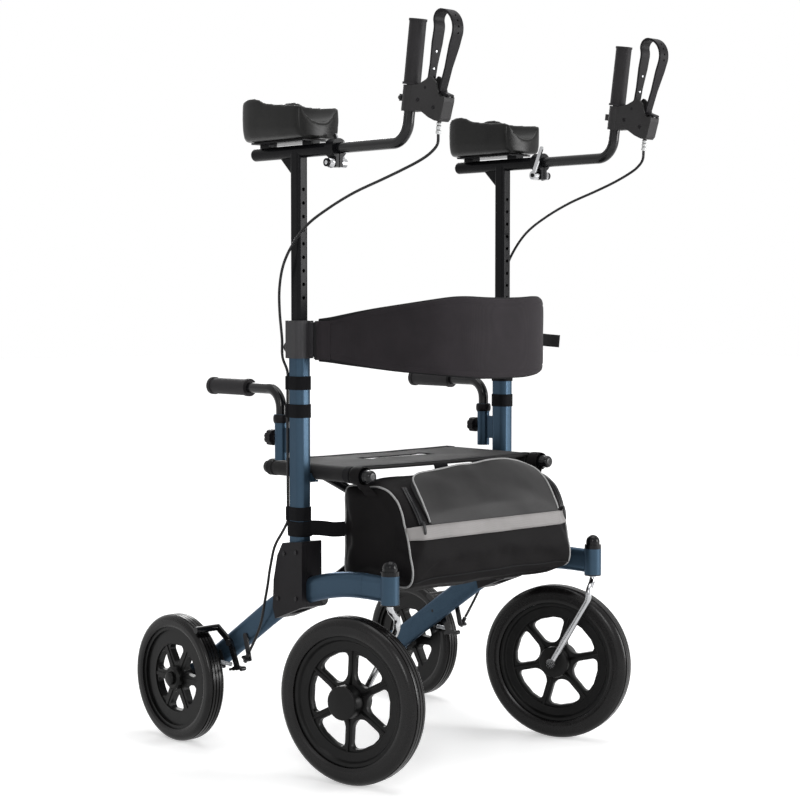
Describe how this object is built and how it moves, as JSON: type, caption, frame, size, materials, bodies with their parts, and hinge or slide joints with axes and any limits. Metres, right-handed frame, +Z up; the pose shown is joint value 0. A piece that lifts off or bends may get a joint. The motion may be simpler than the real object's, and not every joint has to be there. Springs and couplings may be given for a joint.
{
  "type": "upright walker",
  "caption": "Folding upright walker with forearm rests, hand brakes, push handles, a cloth seat, a padded back band, a front bag, caster front wheels and braked rear wheels.",
  "frame": {"origin": "on the floor under the middle of the whole walker", "axes": "+Z up, the front of the walker faces -Y, the walker's own left side is at +X"},
  "size_m": [0.6927, 0.8633, 1.3644],
  "materials": {
    "frame_paint": "metallic gloss",
    "black_tube": "satin",
    "cover_plastic": "fine grain",
    "rim_plastic": "satin",
    "band_cloth": "woven",
    "cable_sheath": "satin",
    "grip_rubber": "matt",
    "tyre_rubber": "matt",
    "pad_skin": "moulded foam",
    "seat_fabric": "woven",
    "bag_fabric": "woven",
    "chrome": "bright",
    "steel": "plated"
  },
  "bodies": {
    "right_frame": {"right_base_arch": "frame_paint", "right_post": "frame_paint", "right_joint_cover": "cover_plastic", "right_collar": "cover_plastic", "right_head_set": "cover_plastic", "right_cable_bands": "band_cloth", "right_brake_cable": "cable_sheath", "right_frame_hardware": "steel", "right_brake_spring": "steel", "backrest": "seat_fabric"},
    "brace_a": {"cross_bar_a": "black_tube", "cross_pivot": "steel", "left_seat_rail": "black_tube", "seat_cloth": "seat_fabric"},
    "brace_b": {"cross_bar_b": "black_tube", "right_seat_rail": "black_tube"},
    "left_frame": {"left_base_arch": "frame_paint", "left_post": "frame_paint", "left_joint_cover": "cover_plastic", "left_collar": "cover_plastic", "left_head_set": "cover_plastic", "left_cable_bands": "band_cloth", "left_brake_cable": "cable_sheath", "left_frame_hardware": "steel", "left_brake_spring": "steel"},
    "bag": {"bag": "bag_fabric"},
    "right_mast": {"right_mast": "black_tube", "right_arm_pad": "pad_skin"},
    "right_height_knob": {"right_height_knob": "cover_plastic"},
    "right_clamp_lever": {"right_clamp_lever": "chrome"},
    "right_handle": {"right_handle_tube": "black_tube", "right_hand_grip": "grip_rubber", "right_brake_housing": "cover_plastic"},
    "right_brake_lever": {"right_brake_lever": "cover_plastic"},
    "right_push_handle": {"right_push_tube": "black_tube", "right_push_grip": "grip_rubber"},
    "right_handle_knob": {"right_handle_knob": "cover_plastic"},
    "right_caster": {"right_fork": "chrome"},
    "right_front_wheel": {"right_front_tyre": "tyre_rubber", "right_front_rim": "rim_plastic"},
    "right_rear_wheel": {"right_rear_tyre": "tyre_rubber", "right_rear_rim": "rim_plastic"},
    "right_brake_arm": {"right_brake_arm": "black_tube"},
    "left_mast": {"left_mast": "black_tube", "left_arm_pad": "pad_skin"},
    "left_height_knob": {"left_height_knob": "cover_plastic"},
    "left_clamp_lever": {"left_clamp_lever": "chrome"},
    "left_handle": {"left_handle_tube": "black_tube", "left_hand_grip": "grip_rubber", "left_brake_housing": "cover_plastic"},
    "left_brake_lever": {"left_brake_lever": "cover_plastic"},
    "left_push_handle": {"left_push_tube": "black_tube", "left_push_grip": "grip_rubber"},
    "left_handle_knob": {"left_handle_knob": "cover_plastic"},
    "left_caster": {"left_fork": "chrome"},
    "left_front_wheel": {"left_front_tyre": "tyre_rubber", "left_front_rim": "rim_plastic"},
    "left_rear_wheel": {"left_rear_tyre": "tyre_rubber", "left_rear_rim": "rim_plastic"},
    "left_brake_arm": {"left_brake_arm": "black_tube"}
  },
  "joints": [
    {"name": "fold", "type": "hinge", "parent": "right_frame", "child": "brace_a", "pos_m": [-0.235, -0.006, 0.311], "axis": [0, -1, 0], "range_deg": [0, 41], "deforming": ["seat_cloth", "bag", "backrest"]},
    {"name": "brace_centre", "type": "hinge", "parent": "brace_a", "child": "brace_b", "pos_m": [0, -0.006, 0.431], "axis": [0, -1, 0], "range_deg": [-82, 0]},
    {"name": "left_brace_foot", "type": "hinge", "parent": "brace_b", "child": "left_frame", "pos_m": [0.235, -0.006, 0.311], "axis": [0, -1, 0], "range_deg": [0, 41]},
    {"name": "bag_loop", "type": "hinge", "parent": "brace_b", "child": "bag", "pos_m": [-0.235, -0.006, 0.551], "axis": [0, -1, 0], "range_deg": [0, 41]},
    {"name": "right_mast_height", "type": "slide", "parent": "right_frame", "child": "right_mast", "axis": [0, 0, 1], "range_m": [-0.2, 0.05], "deforming": ["right_brake_cable"]},
    {"name": "right_height_knob_turn", "type": "hinge", "parent": "right_frame", "child": "right_height_knob", "pos_m": [-0.27, 0.0165, 0.784], "axis": [0, 1, 0], "range_deg": [-180, 180]},
    {"name": "right_clamp_release", "type": "hinge", "parent": "right_mast", "child": "right_clamp_lever", "pos_m": [-0.255, -0.11, 1.12], "axis": [1, 0, 0], "range_deg": [0, 100]},
    {"name": "right_handle_reach", "type": "slide", "parent": "right_mast", "child": "right_handle", "axis": [0, 1, 0], "range_m": [-0.03, 0.03]},
    {"name": "right_brake_squeeze", "type": "hinge", "parent": "right_handle", "child": "right_brake_lever", "pos_m": [-0.27, -0.3578, 1.23457], "axis": [-1, 0, 0], "range_deg": [0, 12], "stiffness_Nm_per_rad": 2, "springref_deg": -5.73},
    {"name": "right_brake_arm_turn", "type": "hinge", "parent": "right_frame", "child": "right_brake_arm", "pos_m": [-0.283, 0.18759, 0.20669], "axis": [-1, 0, 0], "range_deg": [0, 3.6], "deforming": ["right_brake_spring"]},
    {"name": "right_push_height", "type": "slide", "parent": "right_frame", "child": "right_push_handle", "axis": [0, 0, 1], "range_m": [0, 0.04]},
    {"name": "right_handle_knob_turn", "type": "hinge", "parent": "right_frame", "child": "right_handle_knob", "pos_m": [-0.27, 0.048, 0.612], "axis": [0, 1, 0], "range_deg": [-180, 180]},
    {"name": "right_caster_swivel", "type": "hinge", "parent": "right_frame", "child": "right_caster", "pos_m": [-0.27, -0.256, 0.35808], "axis": [0, 0, 1], "continuous": true},
    {"name": "right_front_wheel_spin", "type": "hinge", "parent": "right_caster", "child": "right_front_wheel", "pos_m": [-0.29567, -0.1818, 0.1525], "axis": [-0.9763, -0.2164, 0], "continuous": true},
    {"name": "right_rear_wheel_spin", "type": "hinge", "parent": "right_frame", "child": "right_rear_wheel", "pos_m": [-0.318, 0.311, 0.125], "axis": [1, 0, 0], "continuous": true},
    {"name": "left_mast_height", "type": "slide", "parent": "left_frame", "child": "left_mast", "axis": [0, 0, 1], "range_m": [-0.2, 0.05], "deforming": ["left_brake_cable"]},
    {"name": "left_height_knob_turn", "type": "hinge", "parent": "left_frame", "child": "left_height_knob", "pos_m": [0.27, 0.0165, 0.784], "axis": [0, 1, 0], "range_deg": [-180, 180]},
    {"name": "left_clamp_release", "type": "hinge", "parent": "left_mast", "child": "left_clamp_lever", "pos_m": [0.255, -0.11, 1.12], "axis": [1, 0, 0], "range_deg": [0, 100]},
    {"name": "left_handle_reach", "type": "slide", "parent": "left_mast", "child": "left_handle", "axis": [0, 1, 0], "range_m": [-0.03, 0.03]},
    {"name": "left_brake_squeeze", "type": "hinge", "parent": "left_handle", "child": "left_brake_lever", "pos_m": [0.27, -0.3578, 1.23457], "axis": [-1, 0, 0], "range_deg": [0, 12], "stiffness_Nm_per_rad": 2, "springref_deg": -5.73},
    {"name": "left_brake_arm_turn", "type": "hinge", "parent": "left_frame", "child": "left_brake_arm", "pos_m": [0.283, 0.18759, 0.20669], "axis": [-1, 0, 0], "range_deg": [0, 3.6], "deforming": ["left_brake_spring"]},
    {"name": "left_push_height", "type": "slide", "parent": "left_frame", "child": "left_push_handle", "axis": [0, 0, 1], "range_m": [0, 0.04]},
    {"name": "left_handle_knob_turn", "type": "hinge", "parent": "left_frame", "child": "left_handle_knob", "pos_m": [0.27, 0.048, 0.612], "axis": [0, 1, 0], "range_deg": [-180, 180]},
    {"name": "left_caster_swivel", "type": "hinge", "parent": "left_frame", "child": "left_caster", "pos_m": [0.27, -0.256, 0.35808], "axis": [0, 0, 1], "continuous": true},
    {"name": "left_front_wheel_spin", "type": "hinge", "parent": "left_caster", "child": "left_front_wheel", "pos_m": [0.25178, -0.17963, 0.1525], "axis": [0.9397, 0.342, 0], "continuous": true},
    {"name": "left_rear_wheel_spin", "type": "hinge", "parent": "left_frame", "child": "left_rear_wheel", "pos_m": [0.318, 0.311, 0.125], "axis": [1, 0, 0], "continuous": true}
  ],
  "couplings": [
    {"joint": "brace_centre", "follows": "fold", "ratio": -2},
    {"joint": "left_brace_foot", "follows": "fold", "ratio": 1},
    {"joint": "bag_loop", "follows": "fold", "ratio": 1},
    {"joint": "right_brake_arm_turn", "follows": "right_brake_squeeze", "ratio": 0.3},
    {"joint": "left_brake_arm_turn", "follows": "left_brake_squeeze", "ratio": 0.3}
  ]
}
